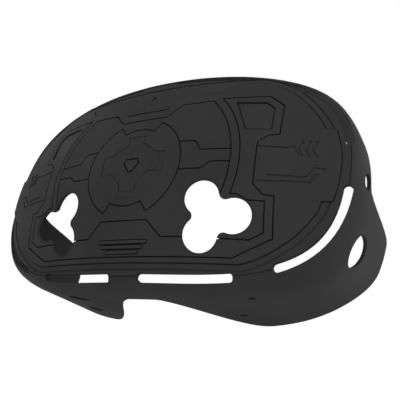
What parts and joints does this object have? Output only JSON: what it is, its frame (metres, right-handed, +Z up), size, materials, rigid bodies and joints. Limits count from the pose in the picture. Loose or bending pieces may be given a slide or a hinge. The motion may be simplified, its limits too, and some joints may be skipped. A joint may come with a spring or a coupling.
{
  "type": "headset front cover",
  "caption": "Front armour cover for a stand-alone headset: raised panels on a bean-shaped face, clover camera windows, edge vents and a skirt that slides back over the headset.",
  "frame": {"origin": "the middle of the underside of the box round the cover, level with the lowest points of the two lobes of the skirt", "axes": "+X to the right of the face as seen from in front, +Y from the face to the open back, +Z up as worn"},
  "size_m": [0.1898, 0.0806, 0.1148],
  "materials": {
    "shell": "matt black, finely grained",
    "plate": "matt black, finely grained",
    "trim": "matt black, a shade lighter"
  },
  "bodies": {
    "root": {"shell": "shell", "outer_frame": "plate", "upper_field": "plate", "lower_field": "plate", "bar_left": "plate", "bar_right": "plate", "centre_disc": "plate", "hub_cross": "plate", "hub_gem": "trim", "lower_bracket": "plate", "inset_left": "trim", "inset_right": "trim", "brow_bar": "trim", "chin_slat_1": "trim", "chin_slat_2": "trim", "chin_slat_3": "trim"}
  },
  "joints": []
}
